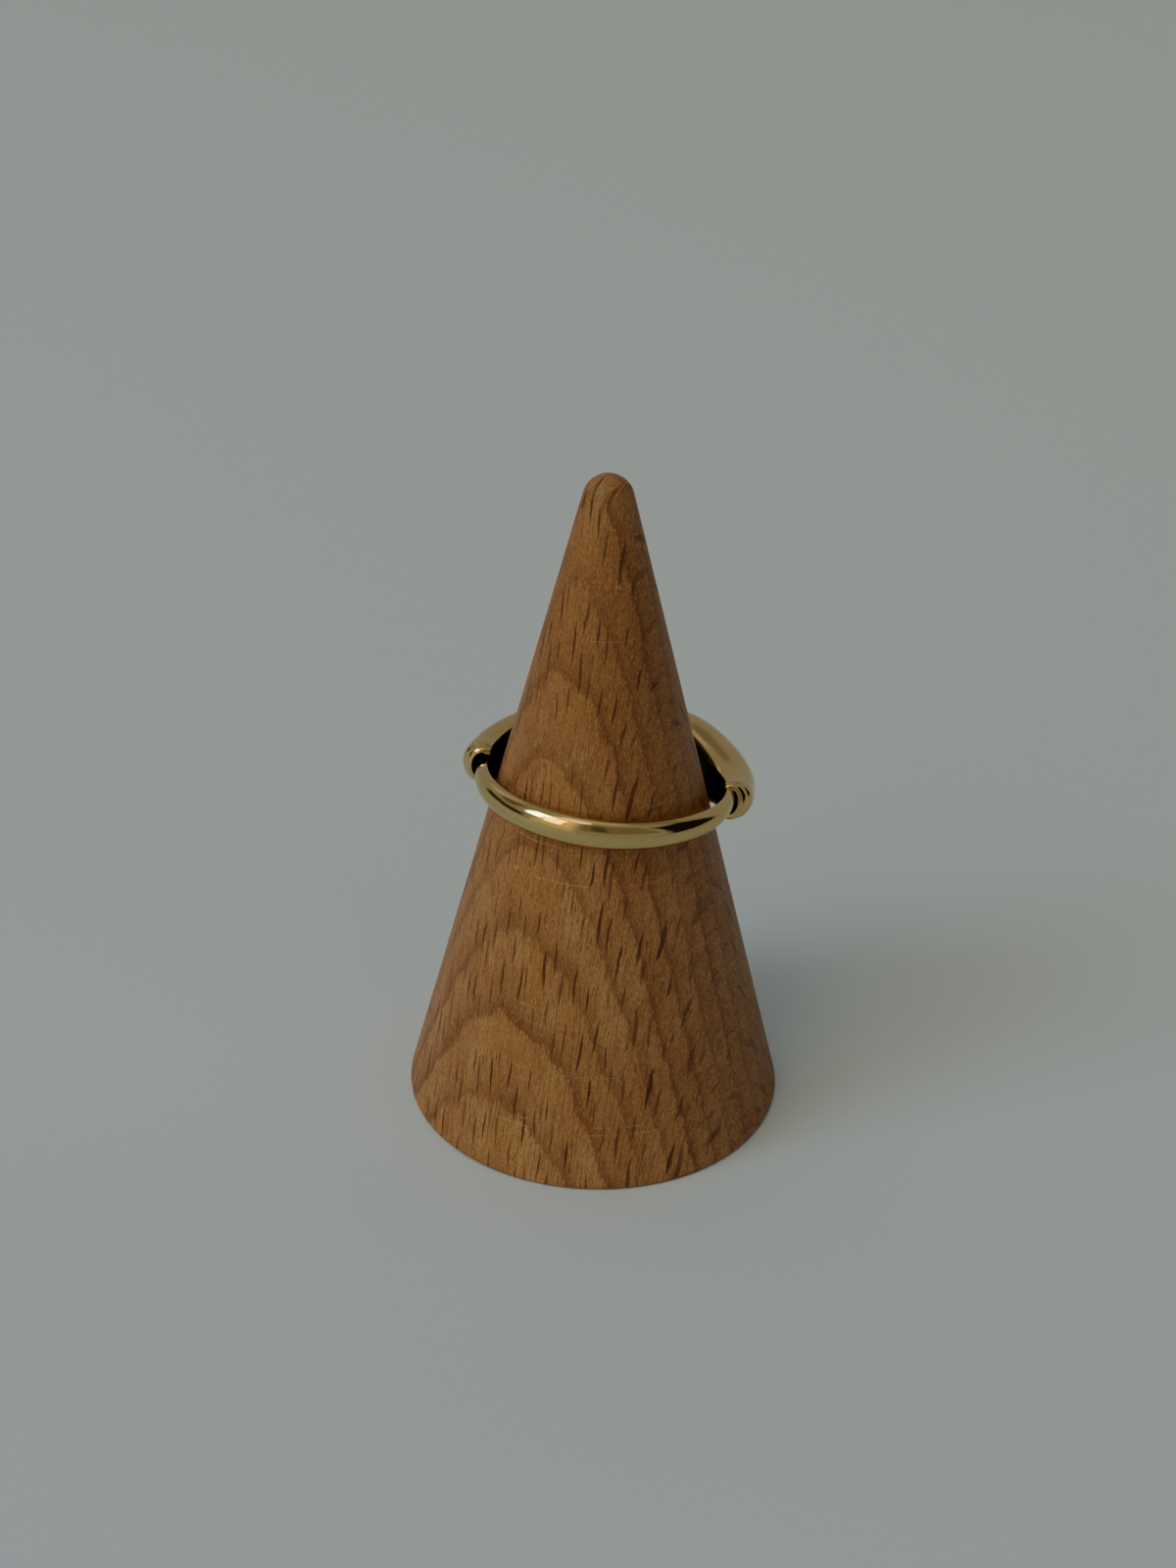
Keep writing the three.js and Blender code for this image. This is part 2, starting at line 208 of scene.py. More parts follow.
def beech_material():
    """Steamed beech, turned and sanded, with no varnish: warm and almost matt.

    Growth rings cross the flank as arches, the rays show as dark flecks along the grain,
    and the pores give a fine speckle.
    """
    material, tree = new_material("beech_turned_and_sanded")
    place = add(tree, "ShaderNodeTexCoord").outputs["Object"]
    # In millimetres, with X running out from the heart of the tree and Z along the grain
    straight = add(tree, "ShaderNodeMapping", {"Vector": place, "Rotation": (0, TRUNK_LEAN, TRUNK_TURN),
                                               "Scale": (1 / MM, 1 / MM, 1 / MM)})
    # The fibres weave a quarter of a millimetre to each side over a few millimetres
    weave_place = add(tree, "ShaderNodeVectorMath", {0: straight, 1: WEAVE_PER_MM}, operation="MULTIPLY")
    weave = add(tree, "ShaderNodeTexNoise", {"Vector": weave_place, "Scale": 1.0, "Detail": 2.0})
    sway = add(tree, "ShaderNodeVectorMath", {0: weave.outputs["Color"], 1: (0.5, 0.5, 0.5)},
               operation="SUBTRACT")
    grain = add(tree, "ShaderNodeVectorMath", {0: sway, 1: GRAIN_SWAY, 2: straight},
                operation="MULTIPLY_ADD")
    axes = add(tree, "ShaderNodeSeparateXYZ", {0: grain})
    late_wood = late_wood_lines(tree, grain, axes.outputs[0])

    # Painted shade: on the side away from the window, towards the heart of the tree, the wood is painted
    # browner and darker
    heart = add(tree, "ShaderNodeMapRange", {0: axes.outputs[0], 1: SHADED_SIDE_REACH, 2: -SHADED_SIDE_REACH,
                                             3: 0.0, 4: 0.78})
    # The upper half is darker and redder
    upper_darker = add(tree, "ShaderNodeMapRange", {0: axes.outputs[2], 1: UPPER_DARKER_FROM, 2: UPPER_DARKER_TO,
                                               3: 0.0, 4: 0.5}, interpolation_type="SMOOTHSTEP")
    # The very tip is paler
    tip_paler = add(tree, "ShaderNodeMapRange", {0: axes.outputs[2], 1: TIP_PALER_FROM, 2: TIP_PALER_TO,
                                              3: 0.0, 4: 0.22})

    # Fibres are long thin strokes, and pores are specks about a tenth of a millimetre wide
    fibre_place = add(tree, "ShaderNodeVectorMath", {0: grain, 1: FIBRES_PER_MM}, operation="MULTIPLY")
    fibres = add(tree, "ShaderNodeTexNoise", {"Vector": fibre_place, "Scale": 1.0, "Detail": 3.0,
                                              "Roughness": 0.6})
    fibre_share = add(tree, "ShaderNodeMapRange", {0: fibres, 1: 0.43, 2: 0.64, 3: 0.0, 4: 0.65})
    pore_place = add(tree, "ShaderNodeVectorMath", {0: grain, 1: PORES_PER_MM}, operation="MULTIPLY")
    pores = add(tree, "ShaderNodeTexNoise", {"Vector": pore_place, "Scale": 1.0, "Detail": 2.0,
                                             "Roughness": 0.7})
    pore_share = add(tree, "ShaderNodeMapRange", {0: pores, 1: 0.5, 2: 0.68, 3: 0.0, 4: 0.6})
    pale_share = add(tree, "ShaderNodeMapRange", {0: pores, 1: 0.46, 2: 0.3, 3: 0.0, 4: 0.4})

    small_rays = ray_flecks(tree, grain, SMALL_RAY_CELL, SMALL_RAY_HALF, SMALL_RAY_SEED)
    small_share = add(tree, "ShaderNodeMath", {0: small_rays, 1: 0.75}, operation="MULTIPLY")
    large_rays = ray_flecks(tree, grain, LARGE_RAY_CELL, LARGE_RAY_HALF, LARGE_RAY_SEED)
    # Cut lengthways, on the sides of the log, a ray is hardly darker than the wood
    round_the_trunk = (math.sin(TRUNK_TURN), math.cos(TRUNK_TURN), 0)
    normal = add(tree, "ShaderNodeNewGeometry").outputs["Normal"]
    facing = add(tree, "ShaderNodeVectorMath", {0: normal, 1: round_the_trunk}, operation="DOT_PRODUCT")
    lengthways = add(tree, "ShaderNodeMath", {0: facing.outputs["Value"]}, operation="ABSOLUTE")
    across = add(tree, "ShaderNodeMapRange", {0: lengthways, 1: 0.85, 2: 0.98, 3: 1.0, 4: 0.4})
    large_share = add(tree, "ShaderNodeMath", {0: large_rays, 1: across}, operation="MULTIPLY")

    # The lathe tool's faint rings, each about a tenth of a millimetre wide, sanded off in places
    height = add(tree, "ShaderNodeSeparateXYZ", {0: place})
    turned = add(tree, "ShaderNodeMath", {0: height.outputs[2], 1: TOOL_MARKS_PER_MM / MM},
                 operation="MULTIPLY")
    turning = add(tree, "ShaderNodeTexNoise", {"W": turned, "Scale": 1.0, "Detail": 1.0},
                  noise_dimensions="1D")
    tool_marks = add(tree, "ShaderNodeMapRange", {0: turning, 1: 0.68, 2: 0.78},
                     interpolation_type="SMOOTHSTEP")
    worn = add(tree, "ShaderNodeTexNoise", {"Vector": straight, "Scale": WORN_PLACES_PER_MM, "Detail": 2.0})
    left_marks = add(tree, "ShaderNodeMapRange", {0: worn, 1: 0.5, 2: 0.62, 3: 0.0, 4: 0.25})
    marks = add(tree, "ShaderNodeMath", {0: tool_marks, 1: left_marks}, operation="MULTIPLY")

    # Broad tones of a few millimetres, with each finer layer laid over them in turn
    tone_place = add(tree, "ShaderNodeVectorMath", {0: grain, 1: TONES_PER_MM}, operation="MULTIPLY")
    patches = add(tree, "ShaderNodeTexNoise", {"Vector": tone_place, "Scale": 1.0, "Detail": 3.0})
    tones = add(tree, "ShaderNodeMapRange", {0: patches, 1: 0.3, 2: 0.7})
    colour = add(tree, "ShaderNodeMix", {0: tones, 6: linear(EARLY_WOOD_PALE), 7: linear(EARLY_WOOD_DEEP)},
                 data_type="RGBA")
    # The first layer is painted shade on the side away from the window
    layers = (
        (heart, SHADED_SIDE_BROWN), (upper_darker, UPPER_DARKER_WOOD), (tip_paler, TIP_PALER_WOOD), (late_wood, LATE_WOOD),
        (fibre_share, FIBRE_BROWN), (pore_share, PORE_BROWN), (pale_share, BETWEEN_PORES),
        (small_share, SMALL_RAY_BROWN), (large_share, LARGE_RAY_BROWN), (marks, TOOL_MARK_PALE),
    )
    for share, code in layers:
        colour = add(tree, "ShaderNodeMix", {0: share, 6: colour.outputs[2], 7: linear(code)},
                     data_type="RGBA")

    # Pores and fibres stand a little proud, the rays lie low, and the tool's rings are ridges
    relief = add(tree, "ShaderNodeMath", {0: pores, 1: 0.5}, operation="MULTIPLY")
    relief = add(tree, "ShaderNodeMath", {0: fibres, 1: 0.5, 2: relief}, operation="MULTIPLY_ADD")
    relief = add(tree, "ShaderNodeMath", {0: relief, 1: large_rays}, operation="SUBTRACT")
    relief = add(tree, "ShaderNodeMath", {0: marks, 1: 0.8, 2: relief}, operation="MULTIPLY_ADD")
    bump = add(tree, "ShaderNodeBump", {"Strength": 0.6, "Distance": WOOD_RELIEF * MM, "Height": relief})
    rough = add(tree, "ShaderNodeMapRange", {0: pores, 3: 0.38, 4: 0.62})
    surface = add(tree, "ShaderNodeBsdfPrincipled", {"Base Color": colour.outputs[2], "Roughness": rough,
                                                     "Normal": bump, "IOR": 1.5,
                                                     "Specular IOR Level": 0.3})
    add(tree, "ShaderNodeOutputMaterial", {"Surface": surface})
    return material


def cone_tree(material):
    """The cone's profile, swept round its axis."""
    tree = bpy.data.node_groups.new("turned_cone", "GeometryNodeTree")
    sizes = {}
    for name in ("Foot Radius", "Height", "Tip Radius", "Edge Radius", "Lean"):
        socket = tree.interface.new_socket(name, in_out="INPUT", socket_type="NodeSocketFloat")
        sizes[name] = socket.identifier
    tree.interface.new_socket("Geometry", in_out="OUTPUT", socket_type="NodeSocketGeometry")
    given = add(tree, "NodeGroupInput")
    foot, height, tip, edge, lean = (given.outputs[i] for i in range(len(sizes)))

    def rounding(middle, radius, start, sweep):
        bend = add(tree, "GeometryNodeCurveArc", {"Resolution": ARC_POINTS, "Radius": radius,
                                                  "Start Angle": start, "Sweep Angle": sweep})
        return add(tree, "GeometryNodeSetPosition", {"Geometry": bend.outputs["Curve"], "Offset": middle})

    def straight_run(start, end, count):
        run = add(tree, "GeometryNodeCurvePrimitiveLine", {"Start": start, "End": end})
        return add(tree, "GeometryNodeResampleCurve", {"Curve": run, "Count": count})

    # The foot's rounded edge touches the floor and the flank
    sine = add(tree, "ShaderNodeMath", {0: lean}, operation="SINE")
    cosine = add(tree, "ShaderNodeMath", {0: lean}, operation="COSINE")
    beyond = add(tree, "ShaderNodeMath", {0: sine, 1: 1.0}, operation="ADD")
    edge_share = add(tree, "ShaderNodeMath", {0: beyond, 1: cosine}, operation="DIVIDE")
    edge_inset = add(tree, "ShaderNodeMath", {0: edge, 1: edge_share}, operation="MULTIPLY")
    edge_out = add(tree, "ShaderNodeMath", {0: foot, 1: edge_inset}, operation="SUBTRACT")
    edge_middle = add(tree, "ShaderNodeCombineXYZ", {0: edge_out, 1: edge})
    flat_end = add(tree, "ShaderNodeCombineXYZ", {0: edge_out})
    flank_out = add(tree, "ShaderNodeMath", {0: edge, 1: cosine, 2: edge_out}, operation="MULTIPLY_ADD")
    flank_up = add(tree, "ShaderNodeMath", {0: edge, 1: sine, 2: edge}, operation="MULTIPLY_ADD")
    flank_start = add(tree, "ShaderNodeCombineXYZ", {0: flank_out, 1: flank_up})

    # The round tip touches the flank and ends on the axis
    tip_up = add(tree, "ShaderNodeMath", {0: height, 1: tip}, operation="SUBTRACT")
    tip_middle = add(tree, "ShaderNodeCombineXYZ", {1: tip_up})
    flank_in = add(tree, "ShaderNodeMath", {0: tip, 1: cosine}, operation="MULTIPLY")
    flank_top = add(tree, "ShaderNodeMath", {0: tip, 1: sine, 2: tip_up}, operation="MULTIPLY_ADD")
    flank_end = add(tree, "ShaderNodeCombineXYZ", {0: flank_in, 1: flank_top})

    quarter = math.pi / 2
    edge_sweep = add(tree, "ShaderNodeMath", {0: lean, 1: quarter}, operation="ADD")
    tip_sweep = add(tree, "ShaderNodeMath", {0: quarter, 1: lean}, operation="SUBTRACT")
    profile = add(tree, "GeometryNodeJoinGeometry")
    for run in (
        straight_run((0, 0, 0), flat_end, ARC_POINTS),
        rounding(edge_middle, edge, -quarter, edge_sweep),
        straight_run(flank_start, flank_end, FLANK_POINTS),
        rounding(tip_middle, tip, lean, tip_sweep),
    ):
        tree.links.new(run.outputs[0], profile.inputs[0])

    # Swept round a circle of no real size, so that the profile's own distances are the radii.
    # Such a sweep turns the profile's heights downwards, so it is turned over first
    path = add(tree, "GeometryNodeCurvePrimitiveCircle", {"Resolution": CONE_SIDES,
                                                          "Radius": SWEEP_RADIUS * MM})
    upright = add(tree, "GeometryNodeTransform", {"Geometry": profile, "Rotation": (math.pi, 0, 0)})
    swept = add(tree, "GeometryNodeCurveToMesh", {"Curve": path, "Profile Curve": upright})
    closed = add(tree, "GeometryNodeMergeByDistance", {"Geometry": swept, "Distance": MERGE_REACH * MM})
    smoothed = add(tree, "GeometryNodeSetShadeSmooth", {"Geometry": closed})
    real = add(tree, "GeometryNodeRealizeInstances", {"Geometry": smoothed})
    finished = add(tree, "GeometryNodeSetMaterial", {"Geometry": real, "Material": material})
    add(tree, "NodeGroupOutput", {0: finished})
    return tree, sizes


def place_object(name, mesh):
    made = bpy.data.objects.new(name, mesh)
    bpy.context.scene.collection.objects.link(made)
    return made


def plain_mesh(made):
    """Puts what the modifiers make of an object in its place, as a plain mesh with no modifier left."""
    evaluated = made.evaluated_get(bpy.context.evaluated_depsgraph_get())
    mesh = bpy.data.meshes.new_from_object(evaluated)
    made.modifiers.clear()
    made.data = mesh


def point_faces_out(mesh):
    work = bmesh.new()
    work.from_mesh(mesh)
    bmesh.ops.recalc_face_normals(work, faces=work.faces)
    work.to_mesh(mesh)
    work.free()


cone_nodes, cone_sizes = cone_tree(beech_material())
cone = place_object("turned_cone", bpy.data.meshes.new("turned_cone"))
turning = cone.modifiers.new("turning", "NODES")
turning.node_group = cone_nodes
for name, value in (("Foot Radius", CONE_FOOT_RADIUS * MM), ("Height", CONE_HEIGHT * MM),
                    ("Tip Radius", CONE_TIP_RADIUS * MM), ("Edge Radius", CONE_EDGE_RADIUS * MM),
                    ("Lean", cone_half_angle())):
    turning[cone_sizes[name]] = value
plain_mesh(cone)
point_faces_out(cone.data)
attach(cone, "root")
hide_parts("cone_stand")

# Dome ring
# A plain band of 14 carat gold whose ends run into the mouths of a hollow puffed dome.
# The dome is pressed from thin sheet, soldered to the band, and the whole is polished.

FINGER_RADIUS = 8.6
BAND_THICKNESS = 0.92
BAND_RISE = 1.2
BAND_DROP = 1.08
BAND_EASING = 0.12
BAND_STEPS = 201
BAND_SECTION_POINTS = 33
DOME_THICKNESS = 3.85
DOME_RISE = 2.3
DOME_DROP = 3.2
DOME_WALL = 0.45
DOME_LENGTH = 31.4
DOME_STEPS = 175
CROWN_SHARE = 0.35
CROWN_POINTS = 36
CURL_SHARE = 0.12
CURL_POINTS = 12
LIP_SHARE = 0.55
LIP_LEAST = 0.08
DOME_START = math.radians(-3.5)
DOME_END = math.radians(174.5)
BAND_TUCK = math.radians(8)

# The mouths: how they lean, the rolled edge, the faint groove behind it, and how far in the wheel polishes;
# deeper in, the inside is painted shade
MOUTH_LEAN = math.radians(16)
MOUTH_FADE = 0.1
MOUTH_REACH = 1.2
MOUTH_STEP = 0.05
ROLL_SHARE = 0.85
GROOVE_DEPTH = 0.07
GROOVE_PLACE = 0.62
GROOVE_WIDTH = 0.2
POLISHED_REACH = 0.9

# How it hangs on the cone, and how sharp its edges are left
RING_ROLL = math.radians(3.9)
RING_PITCH = math.radians(-6.6)
RING_SHIFT = (0.39, 0.77)
POLISHED_EDGE = 0.1
BEVEL_SEGMENTS = 3
BEVELLED_ANGLE = math.radians(38)
SHARP_ANGLE = math.radians(35)

WAVES_PER_MM = 0.9
SCRATCHES_PER_MM = (2.0, 2.0, 16.0)
SMEARS_PER_MM = 3.5
SPECKS_PER_MM = 0.75
POLISH_RELIEF = 0.014
SCRATCH_SHARE = 0.035
# How finely the painted shade inside the dome is clouded
HOLLOW_SHADE_CLOUDS_PER_MM = 1.5
GOLD_BRIGHT = "#D6BD82"
GOLD_SMEARED = "#CAAD72"
GOLD_SPECK = "#5A4526"
# The two colours of the painted shade inside the dome
HOLLOW_SHADE_DARKEST = "#160E07"
HOLLOW_SHADE_DARK = "#302210"

# Along the dome from its right end to its left, then shares of DOME_THICKNESS, DOME_RISE, DOME_DROP
# and DOME_WALL
DOME_SECTIONS = np.array([
    (0.0, 0.36, 0.31, 0.44, 0.8),
    (0.03, 0.53, 0.26, 0.52, 1.0),
    (0.08, 0.67, 0.2, 0.61, 1.0),
    (0.13, 0.82, 0.21, 0.65, 1.0),
    (0.2, 0.95, 0.45, 0.83, 1.0),
    (0.3, 1.0, 0.83, 0.95, 1.0),
    (0.5, 0.94, 1.0, 1.0, 1.0),
    (0.7, 0.76, 0.76, 0.97, 1.0),
    (0.8, 0.64, 0.71, 0.88, 1.0),
    (0.87, 0.6, 0.66, 0.72, 1.0),
    (0.92, 0.59, 0.6, 0.6, 0.9),
    (0.97, 0.54, 0.6, 0.41, 0.7),
    (1.0, 0.4, 0.56, 0.29, 0.55),
])

# Along the band from inside the right mouth round the front to inside the left, then shares of
# BAND_THICKNESS, BAND_RISE and BAND_DROP
BAND_SECTIONS = np.array([
    (0.0, 0.8, 0.5, 0.5),
    (0.07, 0.85, 0.6, 0.57),
    (0.25, 0.95, 0.83, 0.77),
    (0.5, 1.0, 1.0, 1.0),
    (0.65, 1.0, 0.98, 0.9),
    (0.75, 1.0, 0.9, 0.87),
    (0.93, 1.0, 0.72, 0.81),
    (0.97, 0.9, 0.66, 0.82),
    (1.0, 0.7, 0.42, 0.84),
])


def gold_material():
    """14 carat yellow gold, polished on a wheel: pale and very bright, so it mirrors the room.

    The wheel leaves it slightly wavy, and wear has added hairline scratches and a few dark specks.
    """
    material, tree = new_material("yellow_gold_polished")
    place = add(tree, "ShaderNodeTexCoord").outputs["Object"]
    grain = add(tree, "ShaderNodeVectorMath", {0: place, 1: (1 / MM, 1 / MM, 1 / MM)}, operation="MULTIPLY")
    waves = add(tree, "ShaderNodeTexNoise", {"Vector": grain, "Scale": WAVES_PER_MM, "Detail": 1.0})
    # The scratches run round with the band
    along = add(tree, "ShaderNodeVectorMath", {0: grain, 1: SCRATCHES_PER_MM}, operation="MULTIPLY")
    scratches = add(tree, "ShaderNodeTexNoise", {"Vector": along, "Scale": 1.0, "Detail": 3.0})
    smears = add(tree, "ShaderNodeTexNoise", {"Vector": grain, "Scale": SMEARS_PER_MM, "Detail": 3.0})
    rough = add(tree, "ShaderNodeMapRange", {0: smears, 1: 0.35, 2: 0.7, 3: 0.04, 4: 0.08})
    colour = add(tree, "ShaderNodeMix", {0: smears, 6: linear(GOLD_BRIGHT), 7: linear(GOLD_SMEARED)},
                 data_type="RGBA")
    specks = add(tree, "ShaderNodeTexVoronoi", {"Vector": grain, "Scale": SPECKS_PER_MM})
    from_speck = specks.outputs["Distance"]
    speck = add(tree, "ShaderNodeMapRange", {0: from_speck, 1: 0.05, 2: 0.12, 3: 0.65, 4: 0.0})
    colour = add(tree, "ShaderNodeMix", {0: speck, 6: colour.outputs[2], 7: linear(GOLD_SPECK)},
                 data_type="RGBA")
    relief = add(tree, "ShaderNodeMath", {0: scratches, 1: SCRATCH_SHARE, 2: waves}, operation="MULTIPLY_ADD")
    bump = add(tree, "ShaderNodeBump", {"Strength": 1.0, "Distance": POLISH_RELIEF * MM, "Height": relief})
    surface = add(tree, "ShaderNodeBsdfPrincipled", {"Base Color": colour.outputs[2], "Metallic": 1.0,
                                                     "Roughness": rough, "Normal": bump})
    add(tree, "ShaderNodeOutputMaterial", {"Surface": surface})
    return material


def hollow_shade_gold_material():
    """The dome's inside, which no polishing wheel reaches, so it is left rough.

    Its almost black colour is painted shade, standing for the shade deep in the hollow.
    """
    material, tree = new_material("yellow_gold_painted_hollow_shade")
    place = add(tree, "ShaderNodeTexCoord").outputs["Object"]
    grain = add(tree, "ShaderNodeVectorMath", {0: place, 1: (1 / MM, 1 / MM, 1 / MM)}, operation="MULTIPLY")
    cloud = add(tree, "ShaderNodeTexNoise", {"Vector": grain, "Scale": HOLLOW_SHADE_CLOUDS_PER_MM, "Detail": 4.0})
    colour = add(tree, "ShaderNodeMix", {0: cloud, 6: linear(HOLLOW_SHADE_DARKEST), 7: linear(HOLLOW_SHADE_DARK)},
                 data_type="RGBA")
    rough = add(tree, "ShaderNodeMapRange", {0: cloud, 3: 0.5, 4: 0.7})
    surface = add(tree, "ShaderNodeBsdfPrincipled", {"Base Color": colour.outputs[2], "Metallic": 1.0,
                                                     "Roughness": rough})
    add(tree, "ShaderNodeOutputMaterial", {"Surface": surface})
    return material


gold = gold_material()
# The second gold is painted shade for the dome's hollow inside
hollow_shade_gold = hollow_shade_gold_material()


def columns(sections, along):
    """A smooth curve through each column, whose slope at a row is the mean of the slopes beside it."""
    rows, values = sections[:, 0], sections[:, 1:]
    secants = np.diff(values, axis=0) / np.diff(rows)[:, None]
    slopes = np.vstack([secants[:1], (secants[1:] + secants[:-1]) / 2, secants[-1:]])
    i = np.clip(np.searchsorted(rows, along, side="right") - 1, 0, len(rows) - 2)
    width = (rows[i + 1] - rows[i])[:, None]
    t = ((along - rows[i]) / (rows[i + 1] - rows[i]))[:, None]
    return ((2 * t**3 - 3 * t**2 + 1) * values[i] + (t**3 - 2 * t**2 + t) * width * slopes[i]
            + (3 * t**2 - 2 * t**3) * values[i + 1] + (t**3 - t**2) * width * slopes[i + 1])


def round_the_finger(section, angle, lean=0.0):
    """Stands a section, measured out from the finger and up along it, at an angle round the finger."""
    out, up = section[:, 0], section[:, 1]
    turn = angle + math.tan(lean) * up / FINGER_RADIUS
    radius = FINGER_RADIUS + out
    return np.column_stack([radius * np.cos(turn), radius * np.sin(turn), up])


def loft(name, loops, shaded_loops=()):
    """A closed body through loops that all have as many points, with a flat cap at each end.

    The second half of each loop is the inner face, and past a loop whose number is among those given it takes
    the second material, which is painted shade for the hollow.
    """
    size = len(loops[0])
    half = size // 2
    faces, finish = [], []
    for i in range(len(loops) - 1):
        for k in range(size):
            after = (k + 1) % size
            faces.append((i * size + k, i * size + after, (i + 1) * size + after, (i + 1) * size + k))
            finish.append(1 if i in shaded_loops and half <= k < size - 1 else 0)
    last = (len(loops) - 1) * size
    for k in range(half - 1):
        across = size - 1 - k
        faces.append((k, across, across - 1, k + 1))
        faces.append((last + k, last + k + 1, last + across - 1, last + across))
        finish += [0, 0]
    mesh = bpy.data.meshes.new(name)
    mesh.from_pydata(np.vstack(loops).tolist(), [], faces)
    mesh.materials.append(gold)
    mesh.materials.append(hollow_shade_gold)
    mesh.polygons.foreach_set("material_index", finish)
    point_faces_out(mesh)
    return mesh


def dome_side(thickness, middle, half_width, wall=0.0, inset=0.0):
    """One line of the dome's section from its upper edge over the crown to its lower edge.

    With no wall it is the outer face, which curls in to the finger. With a wall it is the inner
    face, which runs straight to the lip.
    """
    crown, curl = thickness * CROWN_SHARE, thickness * CURL_SHARE
    lip = half_width - max(LIP_SHARE * wall, inset + LIP_LEAST * wall)
    top = half_width + curl - wall
    reach = thickness - crown - wall
    share = np.linspace(0, 1, CURL_POINTS, endpoint=False)
    first, second = share * math.pi / 2, np.linspace(0, math.pi / 2, CROWN_POINTS)
    if wall:
        out, up = crown * share, lip + (top - lip) * share
    else:
        out, up = crown - crown * np.cos(first), lip + curl * np.sin(first)
    out = np.concatenate([out, crown + reach * np.sin(second)])
    up = np.concatenate([up, top * np.cos(second)])
    return np.column_stack([np.concatenate([out, out[-2::-1]]), np.concatenate([up, -up[-2::-1]]) + middle])


def dome_mesh():
    """The dome's sections from mouth to mouth, with each mouth's edge rolled in and a groove behind it."""
    loops, shaded_loops = [], []
    fine = np.arange(0, MOUTH_REACH, MOUTH_STEP) / DOME_LENGTH
    between = np.linspace(fine[-1], 1 - fine[-1], DOME_STEPS)[1:-1]
    steps = np.concatenate([fine, between, 1 - fine[::-1]])
    for along, (thick, rise, drop, wall) in zip(steps, columns(DOME_SECTIONS, steps)):
        thickness, wall = DOME_THICKNESS * thick, DOME_WALL * wall
        rise, drop = DOME_RISE * rise, DOME_DROP * drop
        middle, half_width = (rise - drop) / 2, (rise + drop) / 2
        from_mouth = min(along, 1 - along) * DOME_LENGTH
        roll = ROLL_SHARE * wall
        before = max(0.0, roll - from_mouth)
        inset = roll - math.sqrt(roll**2 - before**2)
        inset += GROOVE_DEPTH * math.exp(-((from_mouth - GROOVE_PLACE) / GROOVE_WIDTH) ** 2)
        outer = dome_side(thickness - inset, middle, half_width - inset)
        inner = dome_side(thickness, middle, half_width, wall, inset)[::-1]
        angle = DOME_START + (DOME_END - DOME_START) * along
        lean = MOUTH_LEAN * max(0.0, 1 - along / MOUTH_FADE)
        # Deeper in than the polished reach, the inner face takes the painted shade of the hollow
        if from_mouth > POLISHED_REACH:
            shaded_loops.append(len(loops))
        loops.append(round_the_finger(np.vstack([outer, inner]), angle, lean))
    return loft("pressed_dome", loops, set(shaded_loops))


def band_mesh():
    """The band's half-round sections, from inside one mouth round the front to inside the other."""
    loops = []
    steps = np.linspace(0, 1, BAND_STEPS)
    turn = np.linspace(0, math.pi, BAND_SECTION_POINTS)
    up = np.cos(turn)
    start, end = DOME_START + BAND_TUCK, DOME_END - BAND_TUCK - 2 * math.pi
    for along, (thick, rise, drop) in zip(steps, columns(BAND_SECTIONS, steps)):
        thickness, rise, drop = BAND_THICKNESS * thick, BAND_RISE * rise, BAND_DROP * drop
        half = np.where(up > 0, rise, drop)
        outer = np.column_stack([BAND_EASING + (thickness - BAND_EASING) * np.sin(turn), up * half])
        inner = np.column_stack([np.zeros_like(up), up * (half - BAND_EASING)])[::-1]
        loops.append(round_the_finger(np.vstack([outer, inner]), start + (end - start) * along))
    return loft("drawn_band", loops)


def soften_edges(made):
    edge = made.modifiers.new("polished_edges", "BEVEL")
    edge.width = POLISHED_EDGE
    edge.segments = BEVEL_SEGMENTS
    edge.limit_method = "ANGLE"
    edge.angle_limit = BEVELLED_ANGLE
    edge.harden_normals = False
    plain_mesh(made)


ring = place_object("gold_dome_ring", dome_mesh())
soften_edges(ring)
band = place_object("band", band_mesh())
soften_edges(band)
solder = ring.modifiers.new("solder", "BOOLEAN")
solder.operation = "UNION"
solder.solver = "MANIFOLD"
solder.object = band
plain_mesh(ring)
bpy.data.objects.remove(band)

# Tilted, moved aside and made metres, then lifted until its highest point is the solid's
hang = Matrix.Rotation(RING_ROLL, 4, "Y") @ Matrix.Rotation(RING_PITCH, 4, "X")
ring.data.transform(Matrix.Translation((RING_SHIFT[0], RING_SHIFT[1], 0)) @ hang)
ring.data.transform(Matrix.Scale(MM, 4))
ring_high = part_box("dome_ring")[1]
top = max(vertex.co.z for vertex in ring.data.vertices)
ring.data.transform(Matrix.Translation((0, 0, ring_high.z - top)))
point_faces_out(ring.data)
ring.data.shade_smooth()
ring.data.set_sharp_from_angle(angle=SHARP_ANGLE)
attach(ring, "root")
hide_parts("dome_ring")

# Table
# A seamless sheet of matt pale grey board, laid flat.

FLOOR_HALF = 3.0
BOARD_GRAIN_PER_MM = 7
# Where the painted cool daylight fades out towards the back, and the board's colour at the front, with it,
# and at the back
BOARD_BLUE_TO, BOARD_PLAIN_FROM = -0.05, 0.03
BOARD_FRONT_PAINTED_DAYLIGHT = "#D6E5F6"
BOARD_BACK = "#D9E7F0"
BOARD_FIBRE = "#A9B3B5"


